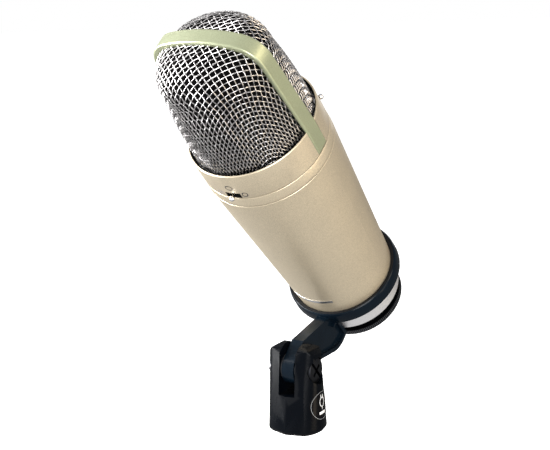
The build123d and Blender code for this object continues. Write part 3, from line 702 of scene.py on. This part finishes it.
def lip_painted_shadow():
    """Painted shadow: a dark sheet round the grille, just inside the collar's sloping lip, for the shadow gap
    between mesh and collar.
    """
    wall = [
        (COLLAR_RADIUS - 1.44, SHADE_LOW),
        (COLLAR_RADIUS - 1.41, COLLAR_TOP - LIP_DEPTH),
        (COLLAR_RADIUS - 0.70, COLLAR_TOP - 0.12),
    ]
    outline = wall + [(radius - SHADE_SHEET, height) for radius, height in reversed(wall)]
    bm = bmesh.new()
    for middle in (0, 180):
        sweep = 180 - 2 * BAND_GAP
        rings = []
        for step in range(LIP_STEPS + 1):
            turn = math.radians(middle - sweep / 2 + sweep * step / LIP_STEPS)
            outward = Vector((math.sin(turn), -math.cos(turn), 0))
            places = [outward * radius + Vector((0, 0, height)) for radius, height in outline]
            rings.append([bm.verts.new(place) for place in places])
        for ring, following in zip(rings, rings[1:]):
            for k in range(len(outline)):
                m = (k + 1) % len(outline)
                bm.faces.new((ring[k], following[k], following[m], ring[m]))
        bm.faces.new(rings[0])
        bm.faces.new(list(reversed(rings[-1])))
    bmesh.ops.recalc_face_normals(bm, faces=bm.faces)
    finished(object_from("lip_painted_shadow", bm, MIC), "inner_plastic", "microphone")


lip_painted_shadow()

# ------------------------------------------------------------------ knurled nut
NUT_RADIUS = 21.5
NUT_LOW, NUT_HIGH = -111.8, -109.4
KNURLS = 150
RIDGE_WIDTH = 0.30
CREST_THICKNESS = 0.03


def knurl_painted_highlights():
    """Painted highlights: a thin bar of lighter metal on the crest of each ridge of the nut's knurling, standing
    in for each ridge's glint.
    """
    bm = bmesh.new()
    for k in range(KNURLS):
        turn = math.tau * (k + 0.5) / KNURLS
        outward = Vector((math.cos(turn), math.sin(turn), 0))
        along = Vector((-math.sin(turn), math.cos(turn), 0))
        for vert in bmesh.ops.create_cube(bm, size=1)["verts"]:
            across, depth, rise = vert.co
            height = (NUT_LOW + NUT_HIGH) / 2 + rise * (NUT_HIGH - NUT_LOW)
            radius = NUT_RADIUS + CREST_THICKNESS * depth
            vert.co = outward * radius + along * across * RIDGE_WIDTH + Vector((0, 0, height))
    bmesh.ops.recalc_face_normals(bm, faces=bm.faces)
    finished(object_from("knurl_painted_highlights", bm, MIC), "painted_highlight_metal", "nut")


knurl_painted_highlights()

# ------------------------------------------------------------------ camera, floor and light
AZIMUTH = math.radians(32.7)
ELEVATION = math.radians(11.6)
ROLL = math.radians(2.37)
CAMERA_PLACE = (0.24046, -0.38661, 0.18418)
SENSOR_WIDTH, FOCAL_LENGTH = 36.0, 72.0
level = Vector((math.cos(AZIMUTH), math.sin(AZIMUTH), 0))
look = Vector((
    -math.sin(AZIMUTH) * math.cos(ELEVATION),
    math.cos(AZIMUTH) * math.cos(ELEVATION),
    -math.sin(ELEVATION),
))
right = Matrix.Rotation(ROLL, 3, look) @ level
camera_data = bpy.data.cameras.new("camera")
camera_data.sensor_width = SENSOR_WIDTH
camera_data.lens = FOCAL_LENGTH
camera = bpy.data.objects.new("camera", camera_data)
camera.matrix_world = Matrix((right, right.cross(look), -look)).transposed().to_4x4()
camera.location = CAMERA_PLACE
bpy.context.scene.collection.objects.link(camera)
bpy.context.scene.camera = camera

FLOOR_HEIGHT = -0.16
FLOOR_HALF = 12000          # millimetres
FLOOR_GLOW = 0.62
LIGHT_BEHIND, LIGHT_AHEAD = 0.20, 0.90  # the surroundings' strength as the object sees them


def floor():
    """A wide pale floor, well below the stand thread that holds the part."""
    bm = bmesh.new()
    bmesh.ops.create_grid(bm, x_segments=2, y_segments=2, size=FLOOR_HALF)
    piece = object_from("floor", bm)
    piece.location.z = FLOOR_HEIGHT
    shader = Shader("floor", (0.90, 0.90, 0.90), 0.9, Specular_IOR_Level=0.0)
    shader.bsdf.inputs["Emission Color"].default_value = (1, 1, 1, 1)
    shader.bsdf.inputs["Emission Strength"].default_value = FLOOR_GLOW
    piece.data.materials.append(shader.material)
    piece.visible_glossy = False
    piece.visible_diffuse = False


def soft_light(name, rightward, toward, upward, size, power, colour=(1, 1, 1)):
    """A softbox set metres rightward, toward the viewer and upward of the part, aimed at it."""
    target = (cad_box[0] + cad_box[1]) / 2
    forward = Vector((look.x, look.y, 0)).normalized()
    data = bpy.data.lights.new(name, "AREA")
    data.shape = "RECTANGLE"
    data.size, data.size_y = size
    data.energy = power
    data.color = colour
    light = bpy.data.objects.new(name, data)
    light.location = target + level * rightward - forward * toward + Vector((0, 0, upward))
    light.rotation_euler = (target - light.location).to_track_quat("-Z", "Y").to_euler()
    bpy.context.scene.collection.objects.link(light)


def surroundings():
    """White seen directly; for the object, brighter from the front left than from behind."""
    world = bpy.data.worlds.new("surroundings")
    bpy.context.scene.world = world
    world.use_nodes = True
    tree = world.node_tree
    background = tree.nodes["Background"]
    background.inputs["Color"].default_value = (1, 1, 1, 1)
    direction = tree.nodes.new("ShaderNodeTexCoord").outputs["Generated"]
    facing = tree.nodes.new("ShaderNodeVectorMath")
    facing.operation = "DOT_PRODUCT"
    brightest = Vector((0, 0, -0.1)) - level * 0.4 - look * 0.8
    facing.inputs[1].default_value = brightest.normalized()
    tree.links.new(direction, facing.inputs[0])
    sky = tree.nodes.new("ShaderNodeMapRange")
    sky.inputs["From Min"].default_value = -1.0
    sky.inputs["To Min"].default_value = LIGHT_BEHIND
    sky.inputs["To Max"].default_value = LIGHT_AHEAD
    tree.links.new(facing.outputs["Value"], sky.inputs["Value"])
    strength = tree.nodes.new("ShaderNodeMapRange")
    strength.inputs["To Max"].default_value = 1.0
    seen_directly = tree.nodes.new("ShaderNodeLightPath").outputs["Is Camera Ray"]
    tree.links.new(seen_directly, strength.inputs["Value"])
    tree.links.new(sky.outputs["Result"], strength.inputs["To Min"])
    tree.links.new(strength.outputs["Result"], background.inputs["Strength"])


floor()
surroundings()
soft_light("key", -0.80, -0.12, 0.22, (0.45, 0.9), 30.0)
soft_light("front", 0.10, 0.95, 0.10, (0.5, 0.5), 11.0)
soft_light("side", 0.70, 0.35, 0.10, (0.25, 0.9), 4.6, (1.0, 0.84, 0.62))
soft_light("rim", 0.35, -0.8, 0.35, (0.4, 0.7), 1.0)
bpy.context.scene.view_settings.view_transform = "Standard"
